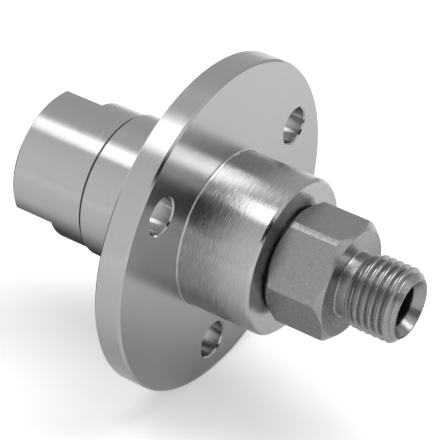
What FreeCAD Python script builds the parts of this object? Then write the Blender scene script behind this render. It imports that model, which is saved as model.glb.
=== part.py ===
import FreeCAD, Part
import math
import os
import re
import Sketcher

# Hydraulic rotary union: a flanged housing with a screwed-in inlet body stays still, and a shaft with a
# hexagon and a male thread turns in two ball bearings behind a spring-loaded face seal.
# The shaft's axis is X, towards the male thread. The origin is the centre of the flange's rear face.

# Driving dimensions in millimetres and degrees: name, value, what it measures
SIZES = [
    ("flange_d", 60.0, "flange diameter"),
    ("flange_thick", 5.0, "flange thickness"),
    ("flange_front_break", 0.4, "chamfer on the flange's front rim"),
    ("flange_rear_break", 0.3, "chamfer on the flange's rear rim"),
    ("bolt_offset", 1.0, "bolt circle, outside the middle of the flange's free face"),
    ("bolt_hole_d", 6.6, "clearance hole for an M6 screw"),
    ("bolt_hole_break", 0.25, "chamfer at both mouths of a bolt hole"),
    ("bolt_holes", 3, "number of bolt holes, the first straight down"),
    ("barrel_wall", 3.5, "barrel wall round the bearings"),
    ("barrel_len", 14.0, "front barrel length from the flange's front face"),
    ("barrel_break", 0.5, "chamfer on the barrel's front rim"),
    ("barrel_root", 0.3, "fillet between barrel and flange"),
    ("sleeve_wall", 2.5, "rear sleeve wall"),
    ("sleeve_len", 16.0, "rear sleeve length from the flange's rear face"),
    ("sleeve_break", 0.4, "chamfer on the sleeve's rear rim"),
    ("web_thick", 2.0, "inner web that the rear bearing seats on"),
    ("web_step", 1.5, "height of the shoulder that the web gives the bearing"),
    ("inlet_step", 2.0, "inlet body's shoulder outside its spigot"),
    ("passage_len", 1.78, "passage between the port's floor and the seal's guide"),
    ("seam_wide", 0.3, "width of the groove where the inlet body meets the sleeve"),
    ("seam_deep", 0.6, "depth of that groove"),
    ("inlet_break", 0.5, "chamfer on the inlet body's rear rim"),
    ("flat_depth", 1.5, "depth of the wrench flats"),
    ("flats_len", 8.0, "length of the wrench flats"),
    ("flats_turn", -36.0, "where the screwed-in body's flats came to stand"),
    ("port_d", 13.157, "major diameter of the inlet port's thread"),
    ("port_depth", 12.0, "depth of the inlet port's thread"),
    ("port_break", 0.6, "countersink at the port's mouth"),
    ("passage_step", 0.25, "how much wider the passage is than the shaft's bore, radially"),
    ("spigot_break", 0.5, "lead-in chamfer on the spigot"),
    ("hex_across", 19.0, "wrench size of the shaft's hexagon"),
    ("hex_corner_step", 1.15, "turned corner radius beyond half the wrench size"),
    ("hex_face_step", 0.2, "end faces' circle inside half the wrench size"),
    ("hex_len", 10.95, "hexagon length"),
    ("hex_rear_break", 1.15, "axial length of the hexagon's rear chamfer"),
    ("hex_front_break", 1.15, "axial length of the hexagon's front chamfer"),
    ("hex_gap", 0.35, "running gap between barrel face and hexagon"),
    ("hex_turn", -3.8, "turn of the hexagon about the axis at rest"),
    ("neck_depth", 0.98, "depth of the undercut behind the male thread"),
    ("neck_len", 2.0, "length of that undercut"),
    ("neck_root", 0.3, "fillet between undercut and hexagon"),
    ("thread_d", 13.157, "major diameter of the male thread"),
    ("thread_len", 9.2, "length of the male thread with its tip chamfer"),
    ("thread_lead", 1.5, "length over which that thread rises out of the undercut"),
    ("tip_break", 1.35, "chamfer at the thread's tip"),
    ("mouth_share", 0.71, "place of the cone's mouth between bore and tip chamfer"),
    ("cone_angle", 60.0, "included angle of the cone seat"),
    ("shaft_bore_d", 7.5, "through bore of the shaft"),
    ("collar_step", 1.5, "collar for the lip seal, above the bearing's bore"),
    ("nose_step", 0.75, "nose for the rotating seal ring, below the bearing's bore"),
    ("nose_short", 0.4, "how far the nose ends behind the seal face"),
    ("nose_break", 0.3, "chamfer on the nose"),
    ("journal_land", 1.0, "journal length behind the shaft retaining ring's groove"),
    ("bearing_bore_d", 12.0, "bearing bore"),
    ("bearing_wide", 5.0, "bearing width"),
    ("ring_wall", 1.3, "wall of both bearing rings"),
    ("land_gap", 1.9, "free height between the rings"),
    ("bearing_break", 0.3, "chamfer on the bearing rings"),
    ("ball_d", 2.381, "ball diameter, 3/32 inch"),
    ("ball_count", 13, "balls in a bearing"),
    ("ball_gap", 0.03, "clearance between ball and race"),
    ("cage_wide", 3.4, "cage width"),
    ("cage_thick", 1.0, "cage thickness, radially"),
    ("pocket_gap", 0.1, "clearance between ball and cage pocket"),
    ("shield_thick", 0.25, "thickness of a bearing shield"),
    ("shield_inset", 0.15, "shield's distance inside the bearing's face"),
    ("shield_gap", 0.12, "clearance between shield and inner ring"),
    ("spacer_len", 3.0, "spacers between the two bearings"),
    ("seat_gap", 0.01, "radial clearance of pieces that seat in or on each other"),
    ("clip_thick", 1.0, "thickness of both retaining rings"),
    ("clip_groove_wide", 1.1, "width of their grooves"),
    ("clip_groove_deep", 0.5, "depth of the housing's ring groove"),
    ("shaft_groove_deep", 0.35, "depth of the shaft's ring groove"),
    ("clip_wide", 1.6, "radial width of a retaining ring"),
    ("clip_slack", 0.05, "clearance between a retaining ring and its groove's floor"),
    ("clip_opening", 2.0, "opening between the ends of a retaining ring"),
    ("lug_d", 2.6, "lugs at those ends"),
    ("lug_hole_d", 1.2, "plier holes in the lugs"),
    ("seal_wide", 3.0, "lip seal width"),
    ("seal_inset", 0.05, "lip seal's distance inside the barrel's face"),
    ("seal_clip_land", 0.2, "housing land between lip seal and retaining ring"),
    ("seal_case_thick", 0.5, "sheet thickness of the lip seal's case"),
    ("case_hole_step", 1.1, "hole in the case's front, outside the collar"),
    ("lip_thick", 0.5, "rubber thickness of the lip"),
    ("lip_gap", 0.02, "clearance of the lips on the collar"),
    ("lip_lift", 0.6, "how far the rubber stands off the collar between its lips"),
    ("seal_ring_step", 2.0, "rotating seal ring inside the bearing's outside"),
    ("seal_ring_wide", 4.0, "rotating seal ring width"),
    ("seal_ring_break", 0.3, "chamfer on the rotating seal ring"),
    ("nose_gap", 0.05, "clearance of the rotating seal ring on the nose"),
    ("nose_cord", 1.4, "cord of the rotating seal ring's O-ring"),
    ("film_gap", 0.02, "oil film between the two seal faces"),
    ("carbon_shoulder", 1.0, "stationary ring's seal face inside its head"),
    ("face_relief", 0.75, "seal face's inner edge, outside the bore"),
    ("carbon_nose_len", 1.0, "length of the stationary ring's nose"),
    ("head_gap", 0.3, "clearance of the stationary ring's head in its pocket"),
    ("carbon_head_len", 2.4, "length of the head"),
    ("carbon_step", 2.2, "tail of the stationary ring inside its head"),
    ("tail_float", 0.8, "room behind the tail for the ring's travel against its spring"),
    ("tail_gap", 0.05, "clearance of the tail in its guide"),
    ("guide_end_land", 1.6, "guide length behind the seal groove"),
    ("pocket_wall", 2.0, "spigot wall round spring and head"),
    ("spring_room", 4.0, "length of the fitted spring"),
    ("spring_wire_d", 0.9, "spring wire"),
    ("spring_turns", 2, "turns of the spring"),
    ("spring_gap", 0.05, "clearance at the spring's ends"),
    ("washer_thick", 0.5, "spring washer thickness"),
    ("washer_gap", 0.2, "clearance round the spring washer"),
    ("tail_cord", 1.5, "cord of the stationary ring's O-ring"),
    ("backup_wide", 0.8, "backup ring width"),
    ("tail_groove_land", 0.6, "wall between spring pocket and seal groove"),
    ("cord_room", 0.3, "side room of an O-ring in its groove"),
    ("cord_gap", 0.01, "clearance of an O-ring above and below"),
    ("body_cord", 1.4, "cord of the inlet body's O-ring"),
    ("body_groove_land", 0.4, "spigot length behind the O-ring's groove"),
    ("pin_d", 1.2, "anti-rotation pin"),
    ("pin_reach", 0.7, "how far the pin stands into the stationary ring's slot"),
    ("pin_inset", 0.2, "pin's outer end below the spigot's surface"),
    ("slot_gap", 0.15, "clearance of the slot round the pin"),
    ("overcut", 1.0, "how far a cutting outline stands outside the metal"),
]

# Places along X, from the flange's rear face
FRONT = "(flange_thick + barrel_len)"
SEAL_REAR = f"({FRONT} - seal_inset - seal_wide)"
CLIP_REAR = f"({SEAL_REAR} - seal_clip_land - clip_thick)"
FRONT_BEARING = f"({CLIP_REAR} - bearing_wide)"
SPACERS = f"({FRONT_BEARING} - spacer_len)"
REAR_BEARING = f"({SPACERS} - bearing_wide)"
WEB_REAR = f"({REAR_BEARING} - web_thick)"
SHAFT_CLIP = f"({REAR_BEARING} - clip_thick)"
SHAFT_GROOVE = f"({REAR_BEARING} - clip_groove_wide)"
JOURNAL_END = f"({SHAFT_GROOVE} - journal_land)"
SEAL_FACE = f"({JOURNAL_END} - seal_ring_wide)"
NOSE_END = f"({SEAL_FACE} + nose_short)"
HEX_REAR = f"({FRONT} + hex_gap)"
HEX_FRONT = f"({HEX_REAR} + hex_len)"
THREAD_REAR = f"({HEX_FRONT} + neck_len)"
TIP = f"({THREAD_REAR} + thread_len)"
CARBON_FACE = f"({SEAL_FACE} - film_gap)"
HEAD_FRONT = f"({CARBON_FACE} - carbon_nose_len)"
HEAD_REAR = f"({HEAD_FRONT} - carbon_head_len)"
PIN_PLACE = f"({HEAD_REAR} + carbon_head_len / 2)"
WASHER_REAR = f"({HEAD_REAR} - washer_thick)"
POCKET_FLOOR = f"({WASHER_REAR} - spring_room)"
TAIL_GROOVE_FRONT = f"({POCKET_FLOOR} - tail_groove_land)"
TAIL_GROOVE_REAR = f"({TAIL_GROOVE_FRONT} - backup_wide - tail_cord - cord_room)"
GUIDE_END = f"({TAIL_GROOVE_REAR} - guide_end_land)"
TAIL_END = f"({GUIDE_END} + tail_float)"
PORT_END = f"({GUIDE_END} - passage_len)"
INLET_END = f"({PORT_END} - port_depth)"
BODY_GROOVE_REAR = "(-sleeve_len + body_groove_land)"
BODY_GROOVE_FRONT = f"({BODY_GROOVE_REAR} + body_cord + cord_room)"

# Radii that several pieces share
BEARING = "(bearing_bore_d / 2 + 2 * ring_wall + land_gap)"
INNER_LAND = "(bearing_bore_d / 2 + ring_wall)"
OUTER_LAND = f"({BEARING} - ring_wall)"
PITCH = f"((bearing_bore_d / 2 + {BEARING}) / 2)"
RACE = "(ball_d / 2 + ball_gap)"
MAIN_BORE = f"({BEARING} + seat_gap)"
BARREL = f"({BEARING} + barrel_wall)"
SLEEVE = f"({BEARING} + sleeve_wall)"
INLET = f"({BEARING} + inlet_step)"
JOURNAL = "(bearing_bore_d / 2 - seat_gap)"
COLLAR = "(bearing_bore_d / 2 + collar_step)"
NOSE = "(bearing_bore_d / 2 - nose_step)"
BORE = "(shaft_bore_d / 2)"
SHAFT_GROOVE_FLOOR = f"({JOURNAL} - shaft_groove_deep)"
HOUSING_GROOVE_FLOOR = f"({MAIN_BORE} + clip_groove_deep)"
POCKET = f"({BEARING} - pocket_wall)"
HEAD = f"({POCKET} - head_gap)"
TAIL = f"({HEAD} - carbon_step)"
GUIDE = f"({TAIL} + tail_gap)"
TAIL_GROOVE_FLOOR = f"({TAIL} + tail_cord + 2 * cord_gap)"
BODY_GROOVE_FLOOR = f"({MAIN_BORE} - body_cord - 2 * cord_gap)"
NOSE_RECESS = f"({NOSE} + nose_cord + 2 * cord_gap)"
BOLT_CIRCLE = f"((flange_d / 2 + {BARREL}) / 2 + bolt_offset)"
HEX_CORNER = "(hex_across / 2 + hex_corner_step)"
HEX_FACE = "(hex_across / 2 - hex_face_step)"
THREAD = "(thread_d / 2)"
NECK = f"({THREAD} - neck_depth)"
TIP_RIM = f"({THREAD} - tip_break)"
MOUTH = f"({BORE} + ({TIP_RIM} - {BORE}) * mouth_share)"

# Two measures this close, in millimetres, count as the same when an edge is looked up
NEAR = 1e-4

NAMES = {name for name, size, note in SIZES}
document = FreeCAD.newDocument("RotaryUnion")
sheet = document.addObject("Spreadsheet::Sheet", "Sizes")
for row, (name, size, note) in enumerate(SIZES, start=1):
    sheet.set(f"A{row}", name)
    sheet.set(f"B{row}", str(size))
    sheet.setAlias(f"B{row}", name)
    sheet.set(f"C{row}", note)
document.recompute()


def linked(text):
    """The same expression as an object outside the sheet has to write it."""
    def with_sheet(word):
        return f"Sizes.{word.group()}" if word.group() in NAMES else word.group()
    return re.sub(r"[a-z_]+", with_sheet, text)


def number(text):
    return float(sheet.evalExpression(text))


def new_body(name):
    body = document.addObject("PartDesign::Body", name)
    body.Label = name
    return body


def new_sketch(body, name, plane="XZ_Plane", lift=None):
    """Sketch on one of the body's own planes, lifted off it along the plane's normal."""
    sketch = body.newObject("Sketcher::SketchObject", name)
    support = [item for item in body.Origin.OriginFeatures if item.Role == plane][0]
    sketch.AttachmentSupport = (support, [""])
    sketch.MapMode = "FlatFace"
    if lift is not None:
        sketch.setExpression("AttachmentOffset.Base.z", linked(lift))
    return sketch


def fix_point(sketch, edge, end, x, y):
    """Bind one point of a sketch to the sheet."""
    for kind, text in (("DistanceX", x), ("DistanceY", y)):
        index = sketch.addConstraint(Sketcher.Constraint(kind, edge, end, number(text)))
        sketch.setExpression(f"Constraints[{index}]", linked(text))


def draw_outline(sketch, corners):
    """Closed outline of straight lines through corners given as pairs of expressions."""
    points = [FreeCAD.Vector(number(x), number(y), 0) for x, y in corners]
    first = sketch.GeometryCount
    count = len(points)
    for index in range(count):
        sketch.addGeometry(Part.LineSegment(points[index], points[(index + 1) % count]))
    for index in range(count):
        after = first + (index + 1) % count
        sketch.addConstraint(Sketcher.Constraint("Coincident", first + index, 2, after, 1))
        fix_point(sketch, first + index, 1, *corners[index])


def draw_box(sketch, left, low, right, high):
    draw_outline(sketch, [(left, low), (right, low), (right, high), (left, high)])


def draw_circle(sketch, x, y, radius):
    centre = FreeCAD.Vector(number(x), number(y), 0)
    edge = sketch.addGeometry(Part.Circle(centre, FreeCAD.Vector(0, 0, 1), number(radius)))
    fix_point(sketch, edge, 3, x, y)
    index = sketch.addConstraint(Sketcher.Constraint("Radius", edge, number(radius)))
    sketch.setExpression(f"Constraints[{index}]", linked(radius))


def draw_axis(sketch, y):
    """Construction line along X at the height y, to turn an outline about."""
    height = number(y)
    ends = (FreeCAD.Vector(0, height, 0), FreeCAD.Vector(1, height, 0))
    edge = sketch.addGeometry(Part.LineSegment(*ends), True)
    fix_point(sketch, edge, 1, "0", y)
    fix_point(sketch, edge, 2, "1", y)


def turn(body, name, sketch, kind="Revolution", axis="H_Axis"):
    """Revolve or groove a sketch right round one of its axes."""
    feature = body.newObject(f"PartDesign::{kind}", name)
    feature.Profile = sketch
    feature.ReferenceAxis = (sketch, [axis])
    feature.Angle = 360
    return feature


def turned_body(name, *outlines):
    """Body turned about X from one or more closed outlines of (x, radius)."""
    body = new_body(name)
    body.AllowCompound = len(outlines) > 1
    sketch = new_sketch(body, name + "_profile")
    for outline in outlines:
        draw_outline(sketch, outline)
    turn(body, name + "_turned", sketch)
    return body


def extrude(body, name, sketch, length, kind="Pad", reverse=False):
    """Pad or pocket a sketch along its plane's normal, or against it."""
    feature = body.newObject(f"PartDesign::{kind}", name)
    feature.Profile = sketch
    feature.setExpression("Length", linked(length))
    feature.Reversed = reverse
    return feature


def fillet_root(body, name, x, edge_radius, fillet_radius):
    """Fillet the circular edge at this place along X with this radius."""
    document.recompute()
    for index, edge in enumerate(body.Shape.Edges, start=1):
        curve = edge.Curve
        if isinstance(curve, Part.Circle):
            if abs(curve.Radius - number(edge_radius)) + abs(curve.Center.x - number(x)) < NEAR:
                base = (body.Tip, [f"Edge{index}"])
                fillet = body.newObject("PartDesign::Fillet", name)
                fillet.Base = base
                fillet.setExpression("Radius", linked(fillet_radius))
                return fillet
    raise RuntimeError(f"{name}: its edge was not found")


def repeat_round_x(body, name, feature, count):
    """Copies of a feature spaced evenly round the X axis."""
    pattern = body.newObject("PartDesign::PolarPattern", name)
    pattern.Originals = [feature]
    axis = [item for item in body.Origin.OriginFeatures if item.Role == "X_Axis"][0]
    pattern.Axis = (axis, [""])
    pattern.Angle = 360
    pattern.setExpression("Occurrences", linked(count))
    body.Tip = pattern
    return pattern


def slide_to(body, x):
    body.setExpression("Placement.Base.x", linked(x))
    return body


def turn_to(body, angle):
    """Turn a piece about X; the rotation needs an axis before its angle can be bound."""
    any_angle = 1
    body.Placement.Rotation = FreeCAD.Rotation(FreeCAD.Vector(1, 0, 0), any_angle)
    body.setExpression("Placement.Rotation.Angle", linked(angle))
    return body


def box_ring(left, right, inner, outer, chamfer=None):
    """Section of a plain ring, with its two outer corners chamfered if asked."""
    if chamfer is None:
        return [(left, inner), (right, inner), (right, outer), (left, outer)]
    return [
        (left, inner),
        (right, inner),
        (right, f"{outer} - {chamfer}"),
        (f"{right} - {chamfer}", outer),
        (f"{left} + {chamfer}", outer),
        (left, f"{outer} - {chamfer}"),
    ]


# Flanged housing
def flanged_housing():
    """One turned piece: rear sleeve, flange and front barrel, bored from both ends up to the web."""
    body = turned_body("flanged_housing", [
        ("-sleeve_len", MAIN_BORE),
        ("-sleeve_len", f"{SLEEVE} - sleeve_break"),
        ("-sleeve_len + sleeve_break", SLEEVE),
        ("0", SLEEVE),
        ("0", "flange_d / 2 - flange_rear_break"),
        ("flange_rear_break", "flange_d / 2"),
        ("flange_thick - flange_front_break", "flange_d / 2"),
        ("flange_thick", "flange_d / 2 - flange_front_break"),
        ("flange_thick", BARREL),
        (f"{FRONT} - barrel_break", BARREL),
        (FRONT, f"{BARREL} - barrel_break"),
        (FRONT, MAIN_BORE),
        (f"{CLIP_REAR} + clip_groove_wide", MAIN_BORE),
        (f"{CLIP_REAR} + clip_groove_wide", HOUSING_GROOVE_FLOOR),
        (CLIP_REAR, HOUSING_GROOVE_FLOOR),
        (CLIP_REAR, MAIN_BORE),
        (REAR_BEARING, MAIN_BORE),
        (REAR_BEARING, f"{BEARING} - web_step"),
        (WEB_REAR, f"{BEARING} - web_step"),
        (WEB_REAR, MAIN_BORE),
    ])
    fillet_root(body, "barrel_root_fillet", "flange_thick", BARREL, "barrel_root")
    sketch = new_sketch(body, "bolt_hole_profile")
    centre = f"-{BOLT_CIRCLE}"
    draw_axis(sketch, centre)
    wide = f"({centre} + bolt_hole_d / 2 + bolt_hole_break)"
    narrow = f"({centre} + bolt_hole_d / 2)"
    draw_outline(sketch, [
        ("0", centre),
        ("0", wide),
        ("bolt_hole_break", narrow),
        ("flange_thick - bolt_hole_break", narrow),
        ("flange_thick", wide),
        ("flange_thick", centre),
    ])
    hole = turn(body, "bolt_hole", sketch, "Groove", "Axis0")
    repeat_round_x(body, "bolt_holes_round_flange", hole, "bolt_holes")
    return body


# Inlet body
def inlet_body():
    """Screwed into the sleeve from behind: port, guide of the stationary ring and spring pocket."""
    body = turned_body("inlet_body", [
        (INLET_END, "port_d / 2 + port_break"),
        (INLET_END, f"{INLET} - inlet_break"),
        (f"{INLET_END} + inlet_break", INLET),
        ("-sleeve_len - seam_wide", INLET),
        ("-sleeve_len - seam_wide", f"{INLET} - seam_deep"),
        ("-sleeve_len", f"{INLET} - seam_deep"),
        ("-sleeve_len", BEARING),
        (BODY_GROOVE_REAR, BEARING),
        (BODY_GROOVE_REAR, BODY_GROOVE_FLOOR),
        (BODY_GROOVE_FRONT, BODY_GROOVE_FLOOR),
        (BODY_GROOVE_FRONT, BEARING),
        (f"{HEAD_FRONT} - spigot_break", BEARING),
        (HEAD_FRONT, f"{BEARING} - spigot_break"),
        (HEAD_FRONT, POCKET),
        (POCKET_FLOOR, POCKET),
        (POCKET_FLOOR, GUIDE),
        (TAIL_GROOVE_FRONT, GUIDE),
        (TAIL_GROOVE_FRONT, TAIL_GROOVE_FLOOR),
        (TAIL_GROOVE_REAR, TAIL_GROOVE_FLOOR),
        (TAIL_GROOVE_REAR, GUIDE),
        (GUIDE_END, GUIDE),
        (GUIDE_END, f"{BORE} + passage_step"),
        (PORT_END, f"{BORE} + passage_step"),
        (PORT_END, "port_d / 2"),
        (f"{INLET_END} + port_break", "port_d / 2"),
    ])
    sketch = new_sketch(body, "flat_outline", "YZ_Plane", INLET_END)
    side = f"({INLET} + overcut)"
    draw_box(sketch, f"-{side}", f"{INLET} - flat_depth", side, side)
    flat = extrude(body, "wrench_flat", sketch, "flats_len", "Pocket", True)
    repeat_round_x(body, "wrench_flats", flat, "2")
    sketch = new_sketch(body, "pin_hole_outline", "XY_Plane")
    draw_circle(sketch, PIN_PLACE, "0", "pin_d / 2")
    extrude(body, "pin_hole", sketch, INLET, "Pocket", True)
    return turn_to(body, "flats_turn")



# Outlet shaft
def outlet_shaft():
    """Turned from bar with a through bore, then milled to a hexagon behind the male thread."""
    body = turned_body("outlet_shaft", [
        (NOSE_END, BORE),
        (NOSE_END, f"{NOSE} - nose_break"),
        (f"{NOSE_END} + nose_break", NOSE),
        (JOURNAL_END, NOSE),
        (JOURNAL_END, JOURNAL),
        (SHAFT_GROOVE, JOURNAL),
        (SHAFT_GROOVE, SHAFT_GROOVE_FLOOR),
        (REAR_BEARING, SHAFT_GROOVE_FLOOR),
        (REAR_BEARING, JOURNAL),
        (CLIP_REAR, JOURNAL),
        (CLIP_REAR, COLLAR),
        (HEX_REAR, COLLAR),
        (HEX_REAR, HEX_FACE),
        (f"{HEX_REAR} + hex_rear_break", HEX_CORNER),
        (f"{HEX_FRONT} - hex_front_break", HEX_CORNER),
        (HEX_FRONT, HEX_FACE),
        (HEX_FRONT, NECK),
        (THREAD_REAR, NECK),
        (f"{THREAD_REAR} + thread_lead", THREAD),
        (f"{TIP} - tip_break", THREAD),
        (TIP, TIP_RIM),
        (TIP, MOUTH),
        (f"{TIP} - ({MOUTH} - {BORE}) / tan(cone_angle / 2)", BORE),
    ])
    fillet_root(body, "neck_root_fillet", HEX_FRONT, NECK, "neck_root")
    sketch = new_sketch(body, "hex_flat_outline", "YZ_Plane", HEX_REAR)
    side = f"({HEX_CORNER} + overcut)"
    draw_box(sketch, f"-{side}", "hex_across / 2", side, side)
    flat = extrude(body, "hex_flat", sketch, "hex_len", "Pocket", True)
    repeat_round_x(body, "hex_flats", flat, "6")
    return turn_to(body, "hex_turn")


# Ball bearings
def ball_bearing(side, start):
    """Shielded deep-groove bearing in five pieces, from its rear face at start."""
    middle = "bearing_wide / 2"

    def race(body, name):
        sketch = new_sketch(body, name)
        draw_circle(sketch, middle, PITCH, RACE)
        turn(body, name + "_groove", sketch, "Groove")

    outer = turned_body(side + "_bearing_outer_ring", box_ring(
        "0", "bearing_wide", OUTER_LAND, BEARING, "bearing_break"))
    race(outer, side + "_outer_race")
    inner = turned_body(side + "_bearing_inner_ring", box_ring(
        "0", "bearing_wide", "bearing_bore_d / 2", INNER_LAND))
    race(inner, side + "_inner_race")

    low = f"{INNER_LAND} + shield_gap"
    high = f"{OUTER_LAND} - seat_gap"
    shields = turned_body(
        side + "_bearing_shields",
        box_ring("shield_inset", "shield_inset + shield_thick", low, high),
        box_ring("bearing_wide - shield_inset - shield_thick", "bearing_wide - shield_inset", low, high))

    balls = new_body(side + "_bearing_balls")
    balls.AllowCompound = True
    sketch = new_sketch(balls, side + "_ball_profile")
    draw_axis(sketch, PITCH)
    draw_half_disc(sketch, middle, PITCH, "ball_d / 2")
    ball = turn(balls, side + "_ball", sketch, axis="Axis0")
    repeat_round_x(balls, side + "_ball_ring", ball, "ball_count")

    cage = turned_body(side + "_bearing_cage", box_ring(
        f"{middle} - cage_wide / 2", f"{middle} + cage_wide / 2",
        f"{PITCH} - cage_thick / 2", f"{PITCH} + cage_thick / 2"))
    sketch = new_sketch(cage, side + "_pocket_outline", "XY_Plane")
    draw_circle(sketch, middle, "0", "ball_d / 2 + pocket_gap")
    pocket = extrude(cage, side + "_ball_pocket", sketch, BEARING, "Pocket", True)
    repeat_round_x(cage, side + "_ball_pockets", pocket, "ball_count")
    return [slide_to(body, start) for body in (outer, inner, shields, balls, cage)]


def draw_half_disc(sketch, x, y, radius):
    """Half a disc above the line at y, to be turned about that line."""
    centre = FreeCAD.Vector(number(x), number(y), 0)
    size = number(radius)
    circle = Part.Circle(centre, FreeCAD.Vector(0, 0, 1), size)
    right = centre + FreeCAD.Vector(size, 0, 0)
    left = centre - FreeCAD.Vector(size, 0, 0)
    arc = sketch.addGeometry(Part.ArcOfCircle(circle, 0, math.pi))
    base = sketch.addGeometry(Part.LineSegment(left, right))
    sketch.addConstraint(Sketcher.Constraint("Coincident", arc, 2, base, 1))
    sketch.addConstraint(Sketcher.Constraint("Coincident", arc, 1, base, 2))
    fix_point(sketch, base, 1, f"{x} - {radius}", y)
    fix_point(sketch, base, 2, f"{x} + {radius}", y)
    sketch.addConstraint(Sketcher.Constraint("PointOnObject", arc, 3, base))


# Spacers between the bearings
def spacers():
    outer = turned_body("outer_spacer", box_ring("0", "spacer_len", OUTER_LAND, BEARING))
    inner = turned_body("inner_spacer", box_ring("0", "spacer_len", "bearing_bore_d / 2", INNER_LAND))
    return [slide_to(body, SPACERS) for body in (outer, inner)]


# Retaining rings
def retaining_ring(name, start, inner, outer, lug_radius):
    """Open spring ring with two drilled lugs beside its opening, which stands straight down."""
    body = new_body(name)
    lug_side = "((clip_opening + lug_d) / 2)"
    lug_place = f"sqrt({lug_radius} ^ 2 - {lug_side} ^ 2)"
    sketch = new_sketch(body, name + "_ring", "YZ_Plane")
    draw_circle(sketch, "0", "0", outer)
    draw_circle(sketch, "0", "0", inner)
    extrude(body, name + "_ring_pad", sketch, "clip_thick")
    for side, sign in (("left", "-"), ("right", "")):
        sketch = new_sketch(body, f"{name}_{side}_lug", "YZ_Plane")
        draw_circle(sketch, f"{sign}{lug_side}", f"-{lug_place}", "lug_d / 2")
        extrude(body, f"{name}_{side}_lug_pad", sketch, "clip_thick")
    sketch = new_sketch(body, name + "_opening", "YZ_Plane")
    draw_box(sketch, "-clip_opening / 2", f"-({outer} + overcut + lug_d)", "clip_opening / 2", "0")
    extrude(body, name + "_opening_cut", sketch, "clip_thick", "Pocket", True)
    sketch = new_sketch(body, name + "_holes", "YZ_Plane")
    for sign in ("-", ""):
        draw_circle(sketch, f"{sign}{lug_side}", f"-{lug_place}", "lug_hole_d / 2")
    extrude(body, name + "_holes_cut", sketch, "clip_thick", "Pocket", True)
    return slide_to(body, start)


def retaining_rings():
    housing_outer = f"({HOUSING_GROOVE_FLOOR} - clip_slack)"
    shaft_inner = f"({SHAFT_GROOVE_FLOOR} + clip_slack)"
    return [
        retaining_ring("housing_retaining_ring", CLIP_REAR, f"({housing_outer} - clip_wide)", housing_outer,
                       f"({housing_outer} - lug_d / 2)"),
        retaining_ring("shaft_retaining_ring", SHAFT_CLIP, shaft_inner, f"({shaft_inner} + clip_wide)",
                       f"({shaft_inner} + lug_d / 2)"),
    ]


# Lip seal in the barrel's mouth
def lip_seal():
    """Pressed case with a rubber ring: a sealing lip inwards and a dust lip outwards."""
    case_inner = f"({BEARING} - seal_case_thick)"
    case_hole = f"({COLLAR} + case_hole_step)"
    disc = "(seal_wide - seal_case_thick)"
    case = turned_body("lip_seal_case", [
        ("0", case_inner),
        (disc, case_inner),
        (disc, case_hole),
        ("seal_wide", case_hole),
        ("seal_wide", BEARING),
        ("0", BEARING),
    ])
    lip = f"({COLLAR} + lip_gap)"
    rubber = turned_body("lip_seal", [
        ("lip_thick", lip),
        (f"{disc} - lip_thick", f"{lip} + lip_lift"),
        ("seal_wide - lip_thick / 2", lip),
        ("seal_wide", f"{lip} + lip_thick / 2"),
        ("seal_wide", case_hole),
        (disc, case_hole),
        (disc, case_inner),
        (f"{disc} - 2 * lip_thick", case_inner),
        (f"{disc} - 2 * lip_thick", f"{lip} + lip_lift + lip_thick"),
        ("lip_thick / 2", f"{lip} + lip_thick"),
    ])
    return [slide_to(body, SEAL_REAR) for body in (case, rubber)]


# Face seal
def rotating_seal_ring():
    outer = f"({BEARING} - seal_ring_step)"
    return turned_body("rotating_seal_ring", [
        (SEAL_FACE, f"{NOSE} + nose_gap"),
        (SEAL_FACE, f"{outer} - seal_ring_break"),
        (f"{SEAL_FACE} + seal_ring_break", outer),
        (JOURNAL_END, outer),
        (JOURNAL_END, NOSE_RECESS),
        (f"{JOURNAL_END} - nose_cord - cord_room", NOSE_RECESS),
        (f"{JOURNAL_END} - nose_cord - cord_room", f"{NOSE} + nose_gap"),
    ])


def stationary_seal_ring():
    """Carbon ring: face, head with the pin's slot, and a tail that floats in the inlet body."""
    nose = f"({HEAD} - carbon_shoulder)"
    body = turned_body("stationary_seal_ring", [
        (TAIL_END, BORE),
        (HEAD_FRONT, BORE),
        (CARBON_FACE, f"{BORE} + face_relief"),
        (CARBON_FACE, nose),
        (HEAD_FRONT, nose),
        (HEAD_FRONT, HEAD),
        (HEAD_REAR, HEAD),
        (HEAD_REAR, TAIL),
        (TAIL_END, TAIL),
    ])
    sketch = new_sketch(body, "pin_slot_outline", "YZ_Plane", HEAD_REAR)
    half = "(pin_d / 2 + slot_gap)"
    draw_box(sketch, f"-{half}", f"{HEAD} - pin_reach - slot_gap", half, f"{HEAD} + overcut")
    extrude(body, "pin_slot", sketch, "carbon_head_len", "Pocket", True)
    return turn_to(body, "flats_turn")


def anti_rotation_pin():
    body = new_body("anti_rotation_pin")
    root = f"({HEAD} - pin_reach)"
    sketch = new_sketch(body, "pin_outline", "XY_Plane", root)
    draw_circle(sketch, PIN_PLACE, "0", "pin_d / 2 - seat_gap")
    extrude(body, "pin_pad", sketch, f"{BEARING} - pin_inset - {root}")
    return turn_to(body, "flats_turn")


def o_ring(name, x, groove_floor, cord):
    """Round cord ring that lies on the given radius, at the place x of its centre."""
    body = new_body(name)
    sketch = new_sketch(body, name + "_section")
    draw_circle(sketch, x, f"{groove_floor} + cord_gap + {cord} / 2", f"{cord} / 2")
    turn(body, name + "_turned", sketch)
    return body


def o_rings():
    side = "cord_room / 2"
    return [
        o_ring("rotating_ring_o_ring", f"{JOURNAL_END} - {side} - nose_cord / 2", NOSE, "nose_cord"),
        o_ring("stationary_ring_o_ring", f"{TAIL_GROOVE_REAR} + {side} + tail_cord / 2", TAIL, "tail_cord"),
        o_ring("inlet_body_o_ring", f"{BODY_GROOVE_REAR} + {side} + body_cord / 2", BODY_GROOVE_FLOOR,
               "body_cord"),
    ]


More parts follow.
